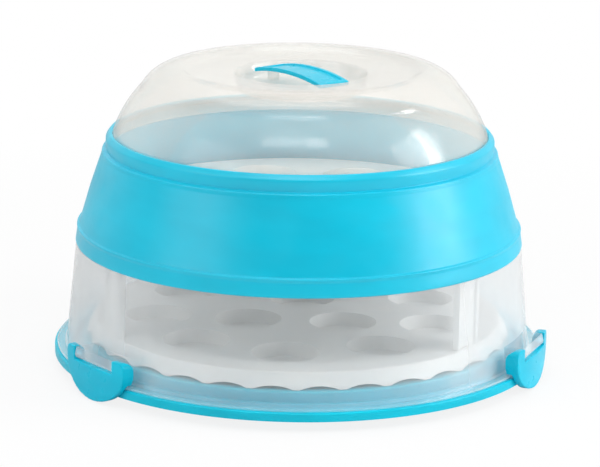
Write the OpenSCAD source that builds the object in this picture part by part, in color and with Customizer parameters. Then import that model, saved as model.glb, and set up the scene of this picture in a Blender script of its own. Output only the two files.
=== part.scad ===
// Round two-tier cupcake carrier with a lift-off lid that folds down to half its height.
// Millimetres, +Z up. The origin is the centre of the underside, and -Y is the front.
// Azimuths are degrees from the front, positive towards +X.

/* [Base] */
// Outer radius of the base rim
rim_r = 190; // [186:0.5:196]
// Height of the rim's lower edge above the surface it stands on
rim_lift = 8; // [7:0.5:12]
// Height of the base rim
rim_h = 6.5; // [5.5:0.1:8]
// Wall thickness of the base
base_t = 2.4; // [1.6:0.1:2.8]
// Height of the plinth that the lower tray stands on, above the rim's lower edge
plinth_h = 16; // [12:0.5:18]
// Width of the plinth's edge outside the tray
plinth_edge = 3; // [1:0.5:4.5]
// Radius of the foot dimple at the centre of the base
dimple_r = 18; // [12:1:24]
// Number of radial ribs under the base
rib_n = 12; // [6:1:24]
// Radius of the inner foot ring
ring_rib_in = 60; // [45:1:75]
// Radius of the foot ring
foot_ring_r = 150; // [120:1:156]
// Thickness of the ribs
rib_t = 1.8; // [1.2:0.1:3]
// Height of the bead that centres the lid
bead_h = 3; // [1:0.5:5]

/* [Trays] */
// Room between the lower fold of the lid and the edge of a tray
tray_margin = 5.2; // [5:0.1:9]
// Height of a tray from its wavy edge to its deck
tray_h = 12; // [11:0.5:15]
// How far the tray's edge leans in towards the deck
tray_lean = 6; // [3:0.5:8]
// Wall thickness of the trays
tray_t = 1.8; // [1.2:0.1:2.2]
// Number of waves along the tray's edge
wave_n = 30; // [24:1:40]
// Depth of the waves
wave_h = 2.6; // [1:0.1:4]
// Height from one tray's deck to the next
tier_pitch = 88; // [80:1:92]

/* [Wells] */
// Radius of a cupcake well at the deck
well_r = 26; // [22:0.5:28]
// How much narrower a well is at its floor
well_draft = 2; // [0.5:0.5:4]
// Number of wells in the outer ring
outer_n = 9; // [6:3:9]
// Radius of the circle of outer wells
outer_pitch = 108.4; // [106:0.2:112]
// Number of wells in the inner ring
inner_n = 3; // [2:1:3]
// Radius of the circle of inner wells
inner_pitch = 42.7; // [38:0.2:44]
// Azimuth of the front outer well
well_az = -4.5; // [-20:0.5:20]

/* [Tray legs] */
// Distance from the edge of the upper tray's deck in to its legs
leg_inset = 6; // [5.5:0.5:13]
// Width of a leg
leg_w = 28; // [18:1:32]
// Thickness of a leg
leg_t = 3; // [2:0.1:4]
// Depth of the edge ribs of a leg
leg_rib = 2; // [1:0.1:2.5]
// Radius of the leg's hinge pin
leg_pin_r = 2.5; // [1.5:0.1:3]
// Thickness of each hinge ear
ear_t = 2.5; // [1.5:0.1:3]

/* [Lid wall] */
// Wall thickness of the clear lid
lid_t = 2; // [1.4:0.1:2.4]
// Width of the foot flange that rests on the rim
flange_w = 7.5; // [6:0.1:9]
// Width of the rim left bare outside the flange
rim_bare = 2; // [1:0.1:3]
// Height of the clear wall up to the coloured band
wall_h = 81.2; // [78:0.2:88]
// How far the clear wall leans in over that height
wall_lean = 7.6; // [6:0.1:9]

/* [Folding band] */
// Height of the lower collar
low_collar_h = 13.2; // [10:0.1:16]
// Height of the folding wall between the two creases
fold_h = 57.8; // [54:0.1:62]
// How far the folding wall leans in
fold_lean = 18.3; // [17:0.1:20]
// Thickness of the folding band
band_t = 1.8; // [1.2:0.1:2]
// Height of the upper collar
top_collar_h = 14.4; // [12:0.1:18]

/* [Dome] */
// Height of the dome above the band
dome_h = 51.6; // [46:0.2:60]
// Width of the shelf that holds the dome under the upper collar
shelf_w = 3.3; // [2.6:0.1:5]
// Radius of the raised crest round the dome's flat top
crest_r = 97; // [92:1:102]
// Depth of the flat panel inside the crest
panel_drop = 4.5; // [2:0.5:7]
// Radius of the recess round the handle
recess_r = 50; // [47:0.5:56]
// Depth of the recess
recess_d = 12; // [9:0.5:15]

/* [Handle] */
// Azimuth that the handle points to
handle_az = 38; // [0:1:180]
// Length of the handle
handle_l = 82; // [70:1:84]
// Width of the handle
handle_w = 28; // [20:1:32]
// Thickness of the handle
handle_t = 3.2; // [2.4:0.1:4]
// Height of the handle's middle above the recess floor
handle_rise = 14.5; // [12.5:0.5:18]
// Height of the handle's ends above the recess floor
handle_end = 10; // [8:0.5:11]
// Height of the raised edges of the handle
handle_edge = 1.4; // [0.6:0.1:2]
// Width of the raised edges of the handle
handle_edge_w = 3.2; // [2:0.1:5]

/* [Latches] */
// Azimuth of the left front latch
latch_az = -51.5; // [-60:0.5:-40]
// Width of a latch
latch_w = 73; // [66:0.5:77]
// Thickness of a latch where it lies on the rim
latch_t = 5.6; // [4.8:0.1:7]
// Thickness of a latch's arms
latch_arm_t = 10; // [8.5:0.1:11]
// Height of the top of a latch's arms above the hinge
latch_arm_h = 6.1; // [4.5:0.1:7]
// Width of the notch between the arms
notch_w = 48.4; // [44:0.2:52]
// Radius of the hinge pins moulded on the arms
latch_pin_r = 1.8; // [1.2:0.1:2.2]
// Radius of the rounded nose of the lug
lug_nose = 3.5; // [3.2:0.1:4.2]
// Height of the lug's top above the nose
lug_rise = 2.1; // [0.5:0.1:2.5]
// Height of the latch's hinge above the rim
latch_axis_h = 16.1; // [15.5:0.1:18]

/* [Fit] */
// Clear gap between pieces that rest on or pass each other
gap = 0.3; // [0.2:0.05:0.5]
// Radial clearance of a hinge pin in its bore
pin_gap = 0.05; // [0.02:0.01:0.09]

/* [Hidden] */
$fn = 144;
BIG = 500;
OVER = 1;
WELD = 0.2;
SMALL_FN = 48;
CLEAR_TINT = [0.94, 0.94, 0.93, 0.5];
// radii of the lid, from the rim inwards
flange_r = rim_r - rim_bare;
wall_foot_r = flange_r - flange_w;
wall_top_r = wall_foot_r - wall_lean;
tongue_t = 1.2;
tongue_step = 1.2;
tongue_r = wall_top_r - tongue_step;
fold_clear_r = tongue_r - tongue_t;
fold_low_r = fold_clear_r - gap;
fold_top_r = fold_low_r - fold_lean;
nest_room = 0.1;
top_collar_r = fold_top_r - band_t - gap - nest_room;
dome_tongue_r = top_collar_r - band_t;
dome_r = dome_tongue_r - shelf_w;
// heights of the lid, from the rim upwards
flange_z = rim_lift + rim_h + gap;
flange_top = flange_z + lid_t;
wall_top_z = flange_z + wall_h;
tongue_h = 6;
fold_low_z = wall_top_z + low_collar_h;
fold_top_z = fold_low_z + fold_h;
ring_z = fold_top_z + top_collar_h;
dome_z = ring_z + dome_h;
fold_slit = 0.2;
collar_round = 3;
collar_proud = 0.7;
collar_draft = 0.1;
collar_edge_t = 1.1;
lip_t = 2;
// the base and the trays
rim_round = 1.2;
plinth_round = 1.5;
dimple_slope = 4;
tray_r = fold_low_r - tray_margin;
tray_top_r = tray_r - tray_lean;
leg_r = tray_top_r - leg_inset;
tray_round = 2.5;
plinth_r = tray_r + plinth_edge;
bead_t = 1.6;
rim_top = rim_lift + rim_h;
plinth_top = rim_lift + plinth_h;
bead_r = wall_foot_r - lid_t - 2.5;
low_tray_z = plinth_top + gap;
top_tray_z = low_tray_z + tier_pitch;
wave_pitch = 360 * tray_r / wave_n * PI / 180;
wave_chord = 0.84 * wave_pitch;
wave_r = (wave_chord * wave_chord / 4 + wave_h * wave_h) / (2 * wave_h);
// the legs
leg_fold_room = 1.5;
leg_axis_z = top_tray_z - leg_t / 2 - leg_fold_room;
leg_foot_z = low_tray_z + tray_h + gap;
leg_barrel_r = leg_pin_r + 1.5;
leg_side_gap = 0.4;
leg_step = 180 / outer_n;
leg_az = well_az + (floor(outer_n / 6) * 2 + 1) * leg_step - 120;
// the latches
latch_gap = 0.4;
latch_foot_z = 0.8;
latch_in_r = rim_r + latch_gap;
latch_out_r = latch_in_r + latch_t;
latch_axis_r = rim_r + 0.5;
latch_axis_z = rim_top + latch_axis_h;
latch_arm_x = latch_out_r - latch_arm_t;
latch_top = latch_axis_z + latch_arm_h;
lug_low_x = sqrt(latch_in_r * latch_in_r - notch_w * notch_w / 4) - latch_gap;
pin_end_gap = 0.4;
latch_step_z = flange_top + 1.5;
latch_belly_z = latch_axis_z - 3.2;
latch_open = 105;
latch_corner = 4.5;
latch_round = 7;
notch_z = latch_axis_z - lug_nose - latch_gap;
lug_w = notch_w - 2 * latch_gap;
lug_round = 0.8;
latch_pin_l = 4.5;
// the recess of the handle
panel_z = dome_z - panel_drop;
floor_z = panel_z - recess_d;
recess_draft = 3;
recess_floor_r = recess_r - recess_draft;
post_r = 4.5;
post_in = 6;

// turns children whose radial direction is +X to an azimuth
module at_azimuth(a) {
    rotate([0, 0, a - 90]) children();
}

// points of an arc about c
function arc(c, r, a0, a1, n) = [
    for (i = [0:n]) c + r * [cos(a0 + (a1 - a0) * i / n), sin(a0 + (a1 - a0) * i / n)]
];

// a point of the curve with ends a and c that is drawn towards b
function bend(a, b, c, t) = (1 - t) * (1 - t) * a + 2 * t * (1 - t) * b + t * t * c;

// the unit normal of that curve, on its left
function bend_normal(a, b, c, t) = let (
    d = (1 - t) * (b - a) + t * (c - b)
) [-d.y, d.x] / norm(d);

module base_profile() {
    polygon(concat(
        [[rim_r - base_t, rim_lift], [rim_r, rim_lift]],
        arc([rim_r - rim_round, rim_top - rim_round], rim_round, 0, 90, 4),
        [[plinth_r, rim_top]],
        arc([plinth_r - plinth_round, plinth_top - plinth_round], plinth_round, 0, 90, 4),
        [
            [dimple_r + dimple_slope, plinth_top], [dimple_r, base_t], [0, base_t], [0, 0],
            [dimple_r + base_t, 0], [dimple_r + dimple_slope + base_t, plinth_top - base_t],
            [plinth_r - base_t, plinth_top - base_t], [plinth_r - base_t, rim_top - base_t],
            [rim_r - base_t, rim_top - base_t]
        ]
    ));
}

module ring(r_out, t, z0, z1) {
    translate([0, 0, z0]) difference() {
        cylinder(r = r_out, h = z1 - z0);
        translate([0, 0, -OVER]) cylinder(r = r_out - t, h = z1 - z0 + 2 * OVER);
    }
}

module base() {
    rib_top = plinth_top - base_t + WELD;
    rib_z = rim_lift + base_t;
    rib_in = dimple_r + 3;
    color("deepskyblue") union() {
        rotate_extrude() base_profile();
        ring(bead_r, bead_t, rim_top - WELD, rim_top + bead_h);
        ring(ring_rib_in, rib_t, 0, rib_top);
        ring(foot_ring_r, base_t, 0, rib_top);
        for (i = [0:rib_n - 1]) {
            at_azimuth(360 * i / rib_n) translate([rib_in, -rib_t / 2, rib_z])
                cube([plinth_r - base_t / 2 - rib_in, rib_t, rib_top - rib_z]);
        }
    }
}

module tray_profile() {
    polygon(concat(
        [[0, tray_h], [0, tray_h - tray_t], [tray_top_r - tray_t - 1, tray_h - tray_t]],
        [[tray_top_r - tray_t, tray_h - tray_t - 1], [tray_r - tray_t, 0], [tray_r, 0]],
        arc([tray_top_r - tray_round, tray_h - tray_round], tray_round, 15, 90, 5)
    ));
}

// places children at each well of a tray
module each_well() {
    for (i = [0:outer_n - 1]) {
        at_azimuth(well_az + 360 * i / outer_n) translate([outer_pitch, 0, 0]) children();
    }
    for (i = [0:inner_n - 1]) {
        at_azimuth(well_az + 60 + 360 * i / inner_n) translate([inner_pitch, 0, 0]) children();
    }
}

module waves() {
    for (i = [0:wave_n - 1]) {
        at_azimuth(360 * (i + 0.5) / wave_n) translate([tray_top_r - 1, 0, wave_h - wave_r])
            rotate([0, 90, 0]) cylinder(r = wave_r, h = tray_lean + 5);
    }
}

module tray_shell() {
    floor_t = tray_t;
    difference() {
        union() {
            rotate_extrude() tray_profile();
            each_well() cylinder(r1 = well_r - well_draft + tray_t, r2 = well_r + tray_t, h = tray_h - WELD);
        }
        each_well() translate([0, 0, floor_t])
            cylinder(r1 = well_r - well_draft, r2 = well_r, h = tray_h - floor_t + 0.01);
        waves();
    }
}

module lower_tray() {
    color("white") translate([0, 0, low_tray_z]) tray_shell();
}

// the two ears that a leg hinges in, with their bores
module leg_ears() {
    ear_r = leg_barrel_r + 1;
    ear_y = leg_w / 2 + leg_side_gap;
    ear_top = top_tray_z + tray_h - tray_t + WELD;
    for (side = [0, 1]) {
        mirror([0, side, 0]) difference() {
            union() {
                translate([leg_r, ear_y, leg_axis_z]) rotate([-90, 0, 0])
                    cylinder(r = ear_r, h = ear_t, $fn = SMALL_FN);
                translate([leg_r - ear_r, ear_y, leg_axis_z]) cube([2 * ear_r, ear_t, ear_top - leg_axis_z]);
            }
            translate([leg_r, ear_y - OVER, leg_axis_z]) rotate([-90, 0, 0])
                cylinder(r = leg_pin_r + pin_gap, h = ear_t + 2 * OVER, $fn = SMALL_FN);
        }
    }
}

module upper_tray() {
    color("white") union() {
        translate([0, 0, top_tray_z]) tray_shell();
        for (i = [0:2]) at_azimuth(leg_az + 120 * i) leg_ears();
    }
}

module tray_leg(i) {
    pin_l = leg_w + 2 * (leg_side_gap + ear_t);
    leg_h = leg_axis_z - leg_foot_z;
    color("whitesmoke") at_azimuth(leg_az + 120 * (i - 1)) union() {
        translate([leg_r, 0, leg_axis_z]) rotate([90, 0, 0])
            cylinder(r = leg_pin_r, h = pin_l, center = true, $fn = SMALL_FN);
        translate([leg_r, 0, leg_axis_z]) rotate([90, 0, 0])
            cylinder(r = leg_barrel_r, h = leg_w, center = true, $fn = SMALL_FN);
        translate([leg_r - leg_t / 2, -leg_w / 2, leg_foot_z]) cube([leg_t, leg_w, leg_h]);
        for (side = [0, 1]) {
            mirror([0, side, 0]) translate([leg_r, leg_w / 2 - leg_t, leg_foot_z])
                cube([leg_t / 2 + leg_rib, leg_t, leg_h]);
        }
    }
}

module lid_wall_profile() {
    polygon([
        [wall_foot_r - lid_t, flange_z], [flange_r - 0.6, flange_z], [flange_r, flange_z + 0.6],
        [flange_r, flange_top - 0.6], [flange_r - 0.6, flange_top], [wall_foot_r + 1.5, flange_top],
        [wall_foot_r, flange_top + 1.5], [wall_top_r, wall_top_z], [tongue_r, wall_top_z],
        [tongue_r, wall_top_z + tongue_h], [fold_clear_r, wall_top_z + tongue_h],
        [fold_clear_r, wall_top_z - 1], [wall_foot_r - lid_t, flange_top]
    ]);
}

// the upper part of the lug seen along the hinge axis: its nose is rounded about the axis,
// and its front leans back so that the latch clears it when wide open
module lug_section() {
    lean = latch_open - 90;
    top = lug_nose + lug_rise;
    round_z = top - lug_round;
    round_x = (lug_nose - lug_round - round_z * sin(lean)) / cos(lean);
    back = fold_clear_r - latch_axis_r;
    translate([latch_axis_r, latch_axis_z]) polygon(concat(
        arc([0, 0], lug_nose, -90, lean, 14),
        arc([round_x, round_z], lug_round, lean, 90, 4),
        [[back, top], [back, -lug_nose]]
    ));
}

// the lug that a latch hinges on
module lug() {
    lug_in = fold_clear_r;
    difference() {
        union() {
            translate([lug_in, -lug_w / 2, flange_z])
                cube([lug_low_x - lug_in, lug_w, latch_axis_z - flange_z]);
            translate([0, lug_w / 2, 0]) rotate([90, 0, 0]) linear_extrude(lug_w) lug_section();
        }
        for (side = [0, 1]) {
            mirror([0, side, 0]) translate([latch_axis_r, lug_w / 2 + OVER, latch_axis_z]) rotate([90, 0, 0])
                cylinder(r = latch_pin_r + pin_gap, h = latch_pin_l + pin_end_gap + OVER, $fn = SMALL_FN);
        }
    }
}

// the space inside the middle of the clear wall's thickness, which the lugs keep out of
module lid_inside() {
    foot_r = wall_foot_r - lid_t / 2;
    rotate_extrude() polygon([
        [0, flange_z - OVER], [foot_r, flange_z - OVER], [foot_r, flange_top],
        [wall_top_r - lid_t / 2, wall_top_z], [0, wall_top_z]
    ]);
}

module lid_wall() {
    color(CLEAR_TINT) union() {
        rotate_extrude() lid_wall_profile();
        difference() {
            for (i = [0:2]) at_azimuth(latch_az + 120 * i) lug();
            lid_inside();
        }
    }
}

module band_lower_collar() {
    z0 = wall_top_z;
    z1 = fold_low_z - fold_slit;
    out_r = wall_top_r + collar_proud;
    color("deepskyblue") rotate_extrude() polygon([
        [tongue_r + gap, z0], [out_r, z0], [out_r - collar_draft, z0 + tongue_h],
        [fold_clear_r + collar_edge_t, z1], [fold_clear_r, z1],
        [fold_clear_r, z0 + tongue_h + gap], [tongue_r + gap, z0 + tongue_h + gap]
    ]);
}

module band_folding_wall() {
    z0 = fold_low_z + fold_slit;
    z1 = fold_top_z - fold_slit;
    color("deepskyblue") rotate_extrude() polygon([
        [fold_low_r - band_t, z0], [fold_low_r, z0], [fold_top_r, z1], [fold_top_r - band_t, z1]
    ]);
}

module band_upper_collar() {
    z0 = fold_top_z + fold_slit;
    in_r = dome_tongue_r + gap;
    color("deepskyblue") rotate_extrude() polygon(concat(
        [[in_r, z0], [top_collar_r, z0]],
        arc([top_collar_r - collar_round, ring_z - collar_round], collar_round, 10, 90, 5),
        [[dome_r + gap, ring_z], [dome_r + gap, ring_z - lip_t], [in_r, ring_z - lip_t]]
    ));
}

module dome_profile() {
    shelf_z = ring_z - lip_t - gap;
    foot = [dome_r, ring_z];
    shoulder = [crest_r + 26, dome_z - 16];
    crown = [crest_r, dome_z];
    pull_1 = [
        shoulder.x + 0.72 * (foot.x - shoulder.x),
        foot.y + 0.53 * (shoulder.y - foot.y)
    ];
    pull_2 = [crest_r + 19, dome_z - 3];
    n = 8;
    polygon(concat(
        [[dome_tongue_r, fold_top_z + 1], [dome_tongue_r, shelf_z], [dome_r, shelf_z]],
        [for (i = [0:n]) bend(foot, pull_1, shoulder, i / n)],
        [for (i = [1:n]) bend(shoulder, pull_2, crown, i / n)],
        [
            [crest_r - 3, dome_z], [crest_r - 5, dome_z - 0.6], [crest_r - 10, panel_z],
            [recess_r + 1, panel_z], [recess_r, panel_z - 0.7],
            [recess_floor_r, floor_z], [recess_floor_r, floor_z - lid_t],
            [recess_floor_r + lid_t, floor_z - lid_t], [recess_r + lid_t, panel_z - lid_t],
            [crest_r - 9.4, panel_z - lid_t], [crest_r - 3.6, dome_z - lid_t]
        ],
        [for (i = [n:-1:1])
            bend(shoulder, pull_2, crown, i / n) + lid_t * bend_normal(shoulder, pull_2, crown, i / n)],
        [for (i = [n:-1:0])
            bend(foot, pull_1, shoulder, i / n) + lid_t * bend_normal(foot, pull_1, shoulder, i / n)],
        [
            [dome_r - lid_t, shelf_z - lid_t], [dome_tongue_r - lid_t, shelf_z - lid_t],
            [dome_tongue_r - lid_t, fold_top_z + 1]
        ]
    ));
}

module dome() {
    color(CLEAR_TINT) rotate_extrude() dome_profile();
}

// the floor of the dome's recess, a piece of its own so that the room over it stays open
module recess_floor() {
    color(CLEAR_TINT) translate([0, 0, floor_z - lid_t]) cylinder(r = recess_floor_r, h = lid_t);
}

// height of the handle's top at x, above the recess floor
function handle_top(x) = handle_end + (handle_rise - handle_end) * (1 - pow(abs(2 * x / handle_l), 2.2));

// the handle's side outline from x = -reach to reach, from its top less drop_1 down to its top less drop_2
module handle_slice(reach, drop_1, drop_2) {
    n = 12;
    xs = [for (i = [-n:n]) reach * sin(90 * i / n)];
    polygon(concat(
        [for (x = xs) [x, handle_top(x) - drop_1]],
        [for (i = [2 * n:-1:0]) [xs[i], handle_top(xs[i]) - drop_2]]
    ));
}

module handle() {
    channel_end = 4;
    channel_w = handle_w - 2 * handle_edge_w;
    color("deepskyblue") at_azimuth(handle_az) translate([0, 0, floor_z]) difference() {
        translate([0, handle_w / 2, 0]) rotate([90, 0, 0]) linear_extrude(handle_w)
            handle_slice(handle_l / 2, 0, handle_t);
        translate([0, channel_w / 2, 0]) rotate([90, 0, 0]) linear_extrude(channel_w)
            handle_slice(handle_l / 2 - channel_end, -OVER, handle_edge);
    }
}

// a post on the recess floor, cut to the underside of the handle's end that it carries
module handle_post(i) {
    cut_w = 2 * (post_r + OVER);
    color(CLEAR_TINT) at_azimuth(handle_az + 180 * (i - 1)) translate([0, 0, floor_z]) difference() {
        translate([handle_l / 2 - post_in, 0, 0]) cylinder(r = post_r, h = handle_end, $fn = SMALL_FN);
        translate([0, cut_w / 2, 0]) rotate([90, 0, 0]) linear_extrude(cut_w)
            handle_slice(handle_l / 2, -OVER, handle_t);
    }
}

// the latch seen from outside: a rounded belly with two arms and a notch between them
module latch_outline() {
    half = latch_w / 2;
    notch = notch_w / 2;
    belly = latch_belly_z - latch_foot_z;
    n = 16;
    polygon(concat(
        [for (i = [0:n]) [-half * cos(180 * i / n), latch_belly_z - belly * sin(180 * i / n)]],
        arc([half - latch_corner, latch_top - latch_corner], latch_corner, 0, 90, 4),
        [[notch, latch_top], [notch, notch_z], [-notch, notch_z], [-notch, latch_top]],
        arc([-half + latch_corner, latch_top - latch_corner], latch_corner, 90, 180, 4)
    ));
}

// the latch cut through an arm, as radius and height
module latch_section() {
    polygon(concat(
        [[latch_in_r, latch_foot_z - OVER], [latch_out_r, latch_foot_z - OVER], [latch_out_r, latch_top]],
        arc([latch_arm_x + latch_round, latch_top - latch_round], latch_round, 90, 180, 6),
        [[latch_arm_x, latch_step_z], [latch_in_r, latch_step_z]]
    ));
}

// the room that a latch leaves for the lug between its arms
module lug_room() {
    intersection() {
        cylinder(r = latch_in_r, h = latch_top + OVER);
        translate([0, -notch_w / 2, -OVER]) cube([BIG, notch_w, BIG]);
    }
}

module latch(i) {
    pin_start = lug_w / 2 - latch_pin_l;
    color("deepskyblue") at_azimuth(latch_az + 120 * (i - 1)) union() {
        difference() {
            intersection() {
                rotate_extrude() latch_section();
                translate([latch_arm_x - latch_arm_t, 0, 0]) rotate([90, 0, 90])
                    linear_extrude(2 * latch_arm_t + OVER) latch_outline();
            }
            lug_room();
        }
        for (side = [0, 1]) {
            mirror([0, side, 0]) translate([latch_axis_r, pin_start, latch_axis_z]) rotate([-90, 0, 0])
                cylinder(r = latch_pin_r, h = notch_w / 2 - pin_start + OVER, $fn = SMALL_FN);
        }
    }
}

module tray_leg_1() {
    tray_leg(1);
}

module tray_leg_2() {
    tray_leg(2);
}

module tray_leg_3() {
    tray_leg(3);
}

module handle_post_1() {
    handle_post(1);
}

module handle_post_2() {
    handle_post(2);
}

module latch_1() {
    latch(1);
}

module latch_2() {
    latch(2);
}

module latch_3() {
    latch(3);
}

base();
lower_tray();
upper_tray();
tray_leg_1();
tray_leg_2();
tray_leg_3();
lid_wall();
band_lower_collar();
band_folding_wall();
band_upper_collar();
dome();
recess_floor();
handle_post_1();
handle_post_2();
handle();
latch_1();
latch_2();
latch_3();
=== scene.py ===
"""Looks of the two-tier cupcake carrier.

Clear lid, folding turquoise band, latches, handle and milky trays, in a pale studio. Outlines are
written in millimetres, everything else is in metres.
"""
import math

import bmesh
import bpy
from mathutils import Matrix, Vector


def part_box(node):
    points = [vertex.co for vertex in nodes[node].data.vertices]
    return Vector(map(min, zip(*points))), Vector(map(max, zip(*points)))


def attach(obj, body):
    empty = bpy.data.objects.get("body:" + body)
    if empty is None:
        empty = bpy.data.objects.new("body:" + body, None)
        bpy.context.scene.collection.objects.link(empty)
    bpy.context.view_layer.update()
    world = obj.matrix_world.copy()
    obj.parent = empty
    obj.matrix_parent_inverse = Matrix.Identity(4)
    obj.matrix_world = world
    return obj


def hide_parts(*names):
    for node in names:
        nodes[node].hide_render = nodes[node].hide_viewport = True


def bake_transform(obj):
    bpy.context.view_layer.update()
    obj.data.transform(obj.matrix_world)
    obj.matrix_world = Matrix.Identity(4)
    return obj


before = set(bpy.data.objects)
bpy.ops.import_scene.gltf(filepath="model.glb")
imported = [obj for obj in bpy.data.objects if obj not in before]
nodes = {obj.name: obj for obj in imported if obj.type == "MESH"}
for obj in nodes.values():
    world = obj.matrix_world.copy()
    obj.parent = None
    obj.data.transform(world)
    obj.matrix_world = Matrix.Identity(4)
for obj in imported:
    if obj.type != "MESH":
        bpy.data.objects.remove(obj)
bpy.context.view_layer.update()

MM_PER_M = 1000


# ---------------------------------------------------------------- node trees

class Tree:
    """The node tree of a material or world, with short calls to add and link nodes."""

    def __init__(self, owner, output):
        owner.use_nodes = True
        self.owner = owner
        self.tree = owner.node_tree
        self.tree.nodes.clear()
        self.out = self.add(output)
        self.coord = self.add("ShaderNodeTexCoord")

    def add(self, kind, **values):
        """Adds a node. Values go to the node's own settings, or else to its inputs."""
        node = self.tree.nodes.new(kind)
        for key, value in values.items():
            if hasattr(node, key):
                setattr(node, key, value)
            else:
                self.feed(node.inputs[key.replace("_", " ")], value)
        return node

    def feed(self, socket, value):
        """Links an output to the socket, or sets the socket to a plain value."""
        if isinstance(value, bpy.types.NodeSocket):
            self.tree.links.new(value, socket)
        else:
            socket.default_value = value

    def calc(self, operation, *values, **settings):
        node = self.add("ShaderNodeMath", operation=operation, **settings)
        for socket, value in zip(node.inputs, values):
            self.feed(socket, value)
        return node.outputs[0]

    def xyz(self, vector):
        node = self.add("ShaderNodeSeparateXYZ")
        self.feed(node.inputs[0], vector)
        return node.outputs

    def noise(self, scale, detail=3.0, roughness=0.5, stretch=(1, 1, 1)):
        """Noise in the object's own coordinates; scale is per metre."""
        place = self.add("ShaderNodeMapping", Scale=stretch, Vector=self.coord.outputs["Object"])
        node = self.add("ShaderNodeTexNoise", Scale=scale, Detail=detail, Roughness=roughness,
                        Vector=place.outputs["Vector"])
        return node.outputs["Fac"]

    def ramp(self, value, lo, hi, at=(0.0, 1.0)):
        """Maps value from the span at to the span lo..hi."""
        node = self.add("ShaderNodeMapRange", Value=value, From_Min=at[0], From_Max=at[1],
                        To_Min=lo, To_Max=hi)
        return node.outputs["Result"]

    def mix_colours(self, share, a, b):
        node = self.add("ShaderNodeMix", data_type="RGBA")
        for index, value in ((0, share), (6, a), (7, b)):
            self.feed(node.inputs[index], value)
        return node.outputs[2]

    def mix_shaders(self, share, a, b):
        node = self.add("ShaderNodeMixShader")
        for socket, value in zip(node.inputs, (share, a, b)):
            self.feed(socket, value)
        return node.outputs[0]

    def bump(self, height, distance, strength, under=None):
        node = self.add("ShaderNodeBump", Strength=strength, Distance=distance, Height=height)
        if under is not None:
            self.feed(node.inputs["Normal"], under)
        return node.outputs["Normal"]

    def principled(self, **values):
        return self.add("ShaderNodeBsdfPrincipled", **values).outputs["BSDF"]

    def finish(self, surface):
        """Shows the surface, and returns the material or world."""
        self.feed(self.out.inputs["Surface"], surface)
        return self.owner


def material_tree(name):
    return Tree(bpy.data.materials.new(name), "ShaderNodeOutputMaterial")


# ---------------------------------------------------------------- materials

MIDDLE = (0.3, 0.7)           # the part of a noise's span that carries most of its values
FINE_GRAIN = 0.00002          # depth of the moulded grain


def srgb(r, g, b):
    """A linear colour from sRGB bytes."""
    def one(v):
        v /= 255
        return v / 12.92 if v <= 0.04045 else ((v + 0.055) / 1.055) ** 2.4
    return (one(r), one(g), one(b), 1.0)


def teal_plastic(name, dark, light, rough, gloss):
    """Satin moulded polypropylene: faint flow marks in the colour, fine grain in the gloss."""
    n = material_tree(name)
    flow = n.noise(14, 2.0, 0.5, (1, 1, 3))
    cloud = n.noise(60, 4.0)
    grain = n.bump(n.noise(900, 2.0), FINE_GRAIN, 0.35)
    return n.finish(n.principled(
        Base_Color=n.mix_colours(n.ramp(flow, 0, 1, (0.35, 0.65)), dark, light),
        Roughness=n.ramp(cloud, rough - 0.05, rough + 0.06, MIDDLE),
        Normal=n.bump(cloud, 0.0002, 0.05, grain), Specular_IOR_Level=gloss))


HAZE_ROUGH = 0.16             # roughness of the frosted plastic
SHADOW_DENSITY = 0.25         # share of the haze that stops light
GLOSS_SHARE = 0.22            # how much of the mirror image the frosting leaves


def clear_plastic(name, tint, alpha_face, alpha_edge, flat_share=1.0):
    """Frosted clear plastic: see-through face on, denser along its edges, with faint flow streaks.

    Level faces have flat_share of the density. Light crosses the haze, which spreads it more than
    it stops it, so shadow rays meet only a part of it and no gloss.
    """
    n = material_tree(name)
    facing = n.add("ShaderNodeLayerWeight", Blend=0.35).outputs["Facing"]
    up = n.xyz(n.add("ShaderNodeNewGeometry").outputs["Normal"])["Z"]
    thin = n.ramp(n.calc("ABSOLUTE", up), 1.0, flat_share, (0.75, 0.97))
    haze = n.calc("MULTIPLY", n.ramp(facing, alpha_face, alpha_edge, (0.0, 0.85)), thin)
    streaks = n.ramp(n.noise(10, 3.0, 0.55, (1, 1, 0.35)), -0.012, 0.012, (0.2, 0.8))
    density = n.calc("ADD", haze, streaks, use_clamp=True)
    shadow = n.add("ShaderNodeLightPath").outputs["Is Shadow Ray"]

    cloud = n.noise(45, 3.0)
    paler = tuple(min(1, c * 1.03) for c in tint[:3]) + (1,)
    rough = n.ramp(cloud, HAZE_ROUGH - 0.04, HAZE_ROUGH + 0.08, MIDDLE)
    normal = n.bump(n.noise(1100, 2.0), FINE_GRAIN, 0.3)
    body = n.principled(Base_Color=n.mix_colours(n.ramp(cloud, 0, 1, MIDDLE), tint, paler),
                        Roughness=rough, Normal=normal, Specular_IOR_Level=0.5,
                        Alpha=n.calc("MULTIPLY", density, n.ramp(shadow, 1.0, SHADOW_DENSITY)))
    sheen = n.add("ShaderNodeBsdfAnisotropic", Roughness=rough, Normal=normal).outputs["BSDF"]
    mirror = n.ramp(n.add("ShaderNodeFresnel", IOR=1.45).outputs[0], 0.0, GLOSS_SHARE)
    shown = n.calc("MULTIPLY", mirror, n.ramp(shadow, 1.0, 0.0))
    return n.finish(n.mix_shaders(shown, body, sheen))


MILK_ROUGH = 0.42


def milky_plastic(name, low, high):
    """Milky white moulded tray: slight sheen, faint unevenness, a little light through it."""
    n = material_tree(name)
    cloud = n.noise(30, 4.0)
    return n.finish(n.principled(
        Base_Color=n.mix_colours(n.ramp(cloud, 0, 1, MIDDLE), low, high),
        Roughness=n.ramp(cloud, MILK_ROUGH - 0.06, MILK_ROUGH + 0.06, MIDDLE),
        Normal=n.bump(n.noise(800, 2.0), 0.00003, 0.3), Specular_IOR_Level=0.45,
        Subsurface_Weight=0.25, Subsurface_Radius=(0.004, 0.004, 0.0045), Subsurface_Scale=1.0))


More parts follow.
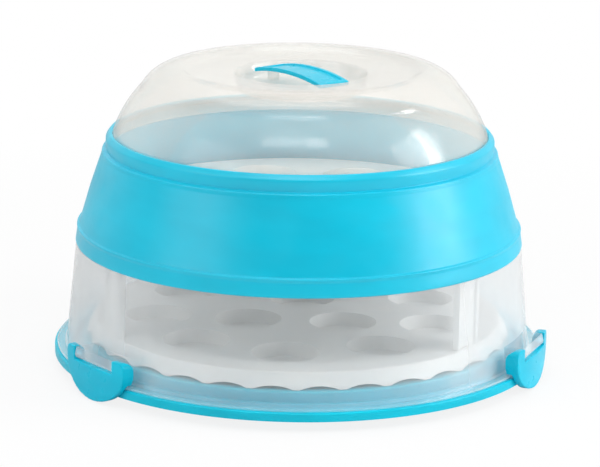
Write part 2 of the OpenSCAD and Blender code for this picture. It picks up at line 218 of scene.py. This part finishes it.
TEAL = teal_plastic("moulded_teal", srgb(0, 190, 220), srgb(0, 202, 231), rough=0.3, gloss=0.24)
TEAL_BAND = teal_plastic("band_teal", srgb(0, 192, 222), srgb(0, 200, 230), rough=0.35, gloss=0.5)
TEAL_BASE = teal_plastic("base_teal", srgb(0, 190, 216), srgb(0, 204, 230), rough=0.36, gloss=0.25)
CLEAR_WALL = clear_plastic("frosted_wall", srgb(244, 246, 247), 0.13, 0.62, flat_share=0.35)
CLEAR_DOME = clear_plastic("frosted_dome", srgb(252, 246, 237), 0.19, 0.36)
MILKY = milky_plastic("milky_tray", srgb(238, 240, 240), srgb(246, 246, 244))

WORN_BY = (
    (TEAL_BASE, ("base",)),
    (TEAL, ("handle", "latch_1", "latch_2", "latch_3")),
    (TEAL_BAND, ("band_lower_collar", "band_folding_wall", "band_upper_collar")),
    (MILKY, ("lower_tray", "upper_tray", "tray_leg_1", "tray_leg_2", "tray_leg_3")),
    (CLEAR_WALL, ("lid_wall",)),
    (CLEAR_DOME, ("dome", "recess_floor", "handle_post_1", "handle_post_2")),
)
for material, names in WORN_BY:
    for name in names:
        nodes[name].data.materials[0] = material


# ---------------------------------------------------------------- outlines, in mm

STRAIGHT_HALF = math.radians(86)     # a corner this open, halved, is left as it is
EDGE_SHARE = 0.48                    # most of an edge that a rounding may take


def bent(a, b, c, steps):
    """Points along the curve that leaves a towards b and comes in to c from b."""
    out = []
    for k in range(steps + 1):
        t = k / steps
        out.append((1 - t) ** 2 * a + 2 * t * (1 - t) * b + t * t * c)
    return out


def rounded(points, radius, steps=4):
    """A closed outline with its corners rounded. points are (x, y) or (x, y, own radius)."""
    out = []
    n = len(points)
    for i in range(n):
        p = Vector(points[i][:2])
        a, b = Vector(points[i - 1][:2]) - p, Vector(points[(i + 1) % n][:2]) - p
        r = points[i][2] if len(points[i]) > 2 else radius
        if r <= 0 or a.length < 1e-9 or b.length < 1e-9:
            out.append(tuple(p))
            continue
        la, lb = a.length, b.length
        a.normalize()
        b.normalize()
        half = 0.5 * math.acos(max(-1, min(1, a.dot(b))))
        if half > STRAIGHT_HALF:
            out.append(tuple(p))
            continue
        reach = min(r / math.tan(half), EDGE_SHARE * la, EDGE_SHARE * lb)
        out += [tuple(q) for q in bent(p + a * reach, p, p + b * reach, steps)]
    return out


def rounded_path(points, steps=5):
    """An open path with its inner corners rounded; points are (x, y) or (x, y, own radius)."""
    first, last = points[0][:2], points[-1][:2]
    return rounded([first, *points[1:-1], last], 0, steps)


def inset(points, depth):
    """The points moved by depth to the left of their path."""
    out = []
    for k, p in enumerate(points):
        d = points[min(k + 1, len(points) - 1)] - points[max(k - 1, 0)]
        d.normalize()
        out.append(p + depth * Vector((-d.y, d.x)))
    return out


def top_of(node):
    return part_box(node)[1][2] * MM_PER_M


def foot_of(node):
    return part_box(node)[0][2] * MM_PER_M


# ---------------------------------------------------------------- meshes

def new_object(name, mesh, material):
    obj = bpy.data.objects.new(name, mesh)
    bpy.context.scene.collection.objects.link(obj)
    mesh.materials.clear()
    mesh.materials.append(material)
    return obj


def smooth(mesh, angle):
    """Smooth shading, with edges sharper than angle, in degrees, kept crisp."""
    for p in mesh.polygons:
        p.use_smooth = True
    mesh.set_sharp_from_angle(angle=math.radians(angle))


LATHE_SEGMENTS = 256
LATHE_CRISP = 50              # degrees
MOULDED_CRISP = 75
SMOOTHING_ROUNDS = 7


def lathe(name, outline, material):
    """Turns a closed outline of (radius, height) in mm about the axis."""
    bm = bmesh.new()
    rings = []
    for k in range(LATHE_SEGMENTS):
        a = 2 * math.pi * k / LATHE_SEGMENTS
        c, s = math.cos(a), math.sin(a)
        rings.append([bm.verts.new((r * c / MM_PER_M, r * s / MM_PER_M, z / MM_PER_M))
                      for r, z in outline])
    m = len(outline)
    for k in range(LATHE_SEGMENTS):
        here, there = rings[k], rings[(k + 1) % LATHE_SEGMENTS]
        for i in range(m):
            j = (i + 1) % m
            bm.faces.new((here[i], there[i], there[j], here[j]))
    bmesh.ops.recalc_face_normals(bm, faces=bm.faces)
    mesh = bpy.data.meshes.new(name)
    bm.to_mesh(mesh)
    bm.free()
    smooth(mesh, LATHE_CRISP)
    return new_object(name, mesh, material)


def weld(mesh, distance=1e-6):
    bm = bmesh.new()
    bm.from_mesh(mesh)
    bmesh.ops.remove_doubles(bm, verts=bm.verts, dist=distance)
    bm.to_mesh(mesh)
    bm.free()


def apply_modifiers(obj):
    bpy.context.view_layer.update()
    depsgraph = bpy.context.evaluated_depsgraph_get()
    done = bpy.data.meshes.new_from_object(obj.evaluated_get(depsgraph))
    obj.modifiers.clear()
    obj.data = done


def softened(name, node, material, voxel, turn, reshape=None):
    """A copy of a CAD node with its edges rounded as a moulding's are.

    The turn about the vertical axis is taken out while the copy is remeshed and reshaped, so that
    it lies square to the voxels.
    """
    mesh = nodes[node].data.copy()
    mesh.transform(Matrix.Rotation(-turn, 4, "Z"))
    weld(mesh)
    obj = new_object(name, mesh, material)
    remesh = obj.modifiers.new("remesh", "REMESH")
    remesh.mode = "VOXEL"
    remesh.voxel_size = voxel
    even = obj.modifiers.new("even", "SMOOTH")
    even.factor = 0.5
    even.iterations = SMOOTHING_ROUNDS
    apply_modifiers(obj)
    if reshape:
        reshape(obj.data)
    obj.data.transform(Matrix.Rotation(turn, 4, "Z"))
    obj.data.materials.clear()
    obj.data.materials.append(material)
    smooth(obj.data, MOULDED_CRISP)
    return obj


BELLY_Z = 0.0274              # level of the latch's belly ellipse's centre
BELLY_CHORDS = 16             # chords that the CAD node draws half the ellipse with


def round_belly(mesh):
    """Swells the latch's belly, an ellipse drawn with chords in the CAD node, to the true one."""
    wide = max(v.co.x for v in mesh.vertices)
    deep = BELLY_Z - min(v.co.z for v in mesh.vertices)
    step = math.pi / BELLY_CHORDS
    for v in mesh.vertices:
        if v.co.z < BELLY_Z:
            turn = math.atan2((BELLY_Z - v.co.z) / deep, v.co.x / wide)
            grow = math.cos(turn % step - step / 2) / math.cos(step / 2)
            v.co.x *= grow
            v.co.z = BELLY_Z - (BELLY_Z - v.co.z) * grow


# ---------------------------------------------------------------- the band

# One flexible moulding, with a fine bead along both creases. Each point is a radius, a level and,
# where it isn't the usual 1 mm, the radius of its corner.
CREASE_GAP = 0.2              # room that the CAD nodes leave at a crease
crease_low = foot_of("band_folding_wall") - CREASE_GAP
crease_top = top_of("band_folding_wall") + CREASE_GAP
band_foot = foot_of("band_lower_collar")
band_top = top_of("band_upper_collar")
wall_mid = crease_top - 28.9  # level at which the folding wall bulges a little
USUAL_CORNER = 1.0

band_outside = [
    # upper collar and its bead
    (144.95, band_top), (147.2, band_top + 0.1, 1.6), (149.9, band_top - 3.6, 3),
    (150.0, band_top - 8, 4), (149.5, crease_top + 1.9, 0.8), (152.8, crease_top + 1.1, 1.5),
    # folding wall
    (153.3, crease_top - 2.4, 3), (162.2, wall_mid, 30), (169.6, crease_low + 3.4, 4),
    # lower bead and collar
    (170.4, crease_low + 1.2, 0.8), (172.5, crease_low + 0.5, 1.1), (171.9, crease_low - 2.2, 2),
    (172.6, band_foot + 6.5, 4), (173.4, band_foot + 1.2, 0.9), (172.9, band_foot, 0.4),
]
band_inside = [
    # lower collar, down to where it grips the clear wall
    (172.0, band_foot, 0), (172.0, band_foot + 6.3, 0), (170.6, band_foot + 6.3, 0),
    (169.6, crease_low - 1.4, 1),
    # folding wall
    (168.8, crease_low + 1.4, 1), (160.4, wall_mid, 20), (151.1, crease_top - 1.2, 1),
    # upper collar, over the dome's edge
    (148.3, crease_top + 0.8, 0.8), (148.2, band_top - 2.0, 0), (144.95, band_top - 2.0, 0),
]
band = lathe("band", rounded(band_outside + band_inside, USUAL_CORNER), TEAL_BAND)
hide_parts("band_lower_collar", "band_folding_wall", "band_upper_collar")
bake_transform(band)


# ---------------------------------------------------------------- the dome

# The clear shell, with the outline of its CAD nodes drawn finer. It is listed outwards from its
# foot: up over the shoulder, in over the crown and the recess, and back along the inside.
SHELL_T = 2.0
SHELL_STEPS = 28
PANEL_DROP = 4.5              # from the crown to the sunk panel round the recess
RECESS_DROP = 12              # from that panel to the recess floor
DOME_FOOT_R = 144.6
SHOULDER_R, SHOULDER_DROP = 123.0, 16
CROWN_R = 97.0
AXIS_R = 0.01                 # just off the axis, so that no faces collapse on it

ring_z = band_top
dome_z = top_of("dome")
panel_z = dome_z - PANEL_DROP
recess_z = panel_z - RECESS_DROP
foot = Vector((DOME_FOOT_R, ring_z))
shoulder = Vector((SHOULDER_R, dome_z - SHOULDER_DROP))
crown = Vector((CROWN_R, dome_z))
side_pull = Vector((shoulder.x + 0.72 * (foot.x - shoulder.x),
                    foot.y + 0.53 * (shoulder.y - foot.y)))
crown_pull = Vector((crown.x + 19, dome_z - 3))

shell = bent(foot, side_pull, shoulder, SHELL_STEPS)
shell += bent(shoulder, crown_pull, crown, SHELL_STEPS)[1:]
shell_inside = inset(shell, SHELL_T)
recess = rounded_path([
    (crown.x, dome_z), (93.6, dome_z, 2.5), (86.5, panel_z, 4), (51.2, panel_z, 1.6),
    (47, recess_z, 2.5), (AXIS_R, recess_z)])[1:]
recess_below = rounded_path([
    (AXIS_R, recess_z - SHELL_T), (49, recess_z - SHELL_T, 2.5), (52.4, panel_z - SHELL_T, 2),
    (87.2, panel_z - SHELL_T, 4), (93.2, dome_z - SHELL_T, 2.5), tuple(shell_inside[-1])])

# the shelf at the dome's foot, and the skirt that the band's upper collar grips
shelf_z = ring_z - 2.3
skirt_z = crease_top + 1
skirt_inner_r, skirt_outer_r = 145.9, 147.9
skirt = [(142.6, shelf_z - 2), (skirt_inner_r, shelf_z - 2), (skirt_inner_r, skirt_z),
         (skirt_outer_r, skirt_z), (skirt_outer_r, shelf_z), (DOME_FOOT_R, shelf_z)]

dome_outline = [tuple(p) for p in shell] + recess + recess_below
dome_outline += [tuple(p) for p in reversed(shell_inside[:-1])] + skirt
dome = lathe("dome_shell", dome_outline, CLEAR_DOME)
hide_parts("dome", "recess_floor")
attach(dome, "lid_top")


# ---------------------------------------------------------------- latches and handle

# Azimuths in degrees, counted from the front towards the right, and voxels in metres.
FIRST_LATCH_AZ = -51.5
LATCH_SPACING = 120
HANDLE_AZ = 38
ALONG_X_AZ = 90               # the handle lies along X before its turn
LATCH_VOXEL = 0.00055
HANDLE_VOXEL = 0.00045

for i in range(3):
    az = math.radians(FIRST_LATCH_AZ + LATCH_SPACING * i)
    latch = softened(f"latch_shell_{i + 1}", f"latch_{i + 1}", TEAL, LATCH_VOXEL, az, round_belly)
    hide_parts(f"latch_{i + 1}")
    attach(latch, f"latch_{i + 1}")
handle = softened("handle_strap", "handle", TEAL, HANDLE_VOXEL,
                  math.radians(HANDLE_AZ - ALONG_X_AZ))
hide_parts("handle")
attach(handle, "lid_top")


# ---------------------------------------------------------------- studio

AIM = (0, 0, 0.12)            # the middle of the carrier's height
FLOOR_HALF = 6
FLOOR_Z = -0.0002             # just under the feet


def area_lamp(name, place, aim, size, power):
    lamp = bpy.data.lights.new(name, "AREA")
    lamp.shape = "RECTANGLE"
    lamp.size, lamp.size_y = size
    lamp.energy = power
    obj = bpy.data.objects.new(name, lamp)
    bpy.context.scene.collection.objects.link(obj)
    obj.location = place
    obj.rotation_euler = (Vector(aim) - Vector(place)).to_track_quat("-Z", "Y").to_euler()


def studio_floor():
    """Pale floor that keeps the carrier's shadow and fades to white away from it."""
    corners = ((-1, -1), (1, -1), (1, 1), (-1, 1))
    mesh = bpy.data.meshes.new("floor")
    mesh.from_pydata([(x * FLOOR_HALF, y * FLOOR_HALF, FLOOR_Z) for x, y in corners],
                     [], [(0, 1, 2, 3)])
    n = material_tree("studio_floor")
    path = n.add("ShaderNodeLightPath").outputs
    seen = n.calc("MAXIMUM", path["Is Camera Ray"], path["Is Transmission Ray"])
    away = n.add("ShaderNodeVectorMath", operation="LENGTH")
    n.feed(away.inputs[0], n.coord.outputs["Object"])
    white = n.calc("MULTIPLY", seen, n.ramp(away.outputs["Value"], 0.86, 1.0, (0.25, 0.8)))
    grey = n.add("ShaderNodeBsdfDiffuse", Color=(0.85, 0.85, 0.85, 1)).outputs[0]
    glow = n.add("ShaderNodeEmission", Strength=1.0).outputs[0]
    obj = new_object("floor", mesh, n.finish(n.mix_shaders(white, grey, glow)))


def studio_world():
    """White to the camera. As light, soft grey that darkens low in front, where the satin band
    mirrors it. Glossy rays that leave backwards see the white backdrop.
    """
    n = Tree(bpy.data.worlds.new("studio"), "ShaderNodeOutputWorld")
    path = n.add("ShaderNodeLightPath").outputs
    toward = n.xyz(n.coord.outputs["Generated"])
    high = n.ramp(toward["Z"], 0.15, 0.75, (0.0, 0.9))
    back = n.ramp(toward["Y"], 0.3, 1.0, (-0.9, 0.1))
    backdrop = n.ramp(toward["Y"], 0.0, 1.0, (-0.3, 0.5))
    mirrored = n.calc("MULTIPLY", backdrop, path["Is Glossy Ray"])
    strength = n.calc("MAXIMUM", n.calc("MULTIPLY", high, back), mirrored)
    lit = n.add("ShaderNodeBackground", Color=(1, 1, 1, 1), Strength=strength).outputs[0]
    shown = n.add("ShaderNodeBackground", Color=(1, 1, 1, 1), Strength=1.0).outputs[0]
    bpy.context.scene.world = n.finish(n.mix_shaders(path["Is Camera Ray"], lit, shown))


area_lamp("softbox_right", (1.95, -0.35, 0.80), AIM, (1.1, 1.5), 27)
area_lamp("softbox_top", (-0.1, 0.25, 2.2), (0, 0, 0.1), (1.6, 1.6), 8.5)
area_lamp("softbox_front", (-0.1, -1.35, 1.95), AIM, (1.3, 0.3), 13)
area_lamp("softbox_left", (-1.9, -1.2, 1.2), AIM, (1.5, 1.3), 14)
studio_floor()
studio_world()


# ---------------------------------------------------------------- camera

SENSOR_MM = 36
PHOTO_WIDTH_PX = 600
FOCAL_PX = 2856               # the focal length in the photograph's pixels
EYE_PLACE = (0.0009, -2.155, 0.655)
LOOK_DOWN_DEG = 14.44
ROLL_DEG = 0.83

camera = bpy.data.cameras.new("camera")
camera.sensor_fit = "HORIZONTAL"
camera.sensor_width = SENSOR_MM
camera.lens = FOCAL_PX / PHOTO_WIDTH_PX * SENSOR_MM
camera.clip_end = 30
eye = bpy.data.objects.new("camera", camera)
bpy.context.scene.collection.objects.link(eye)
eye.matrix_world = (Matrix.Translation(EYE_PLACE)
                    @ Matrix.Rotation(math.radians(90 - LOOK_DOWN_DEG), 4, "X")
                    @ Matrix.Rotation(math.radians(ROLL_DEG), 4, "Z"))
bpy.context.scene.camera = eye
bpy.context.scene.view_settings.view_transform = "Standard"
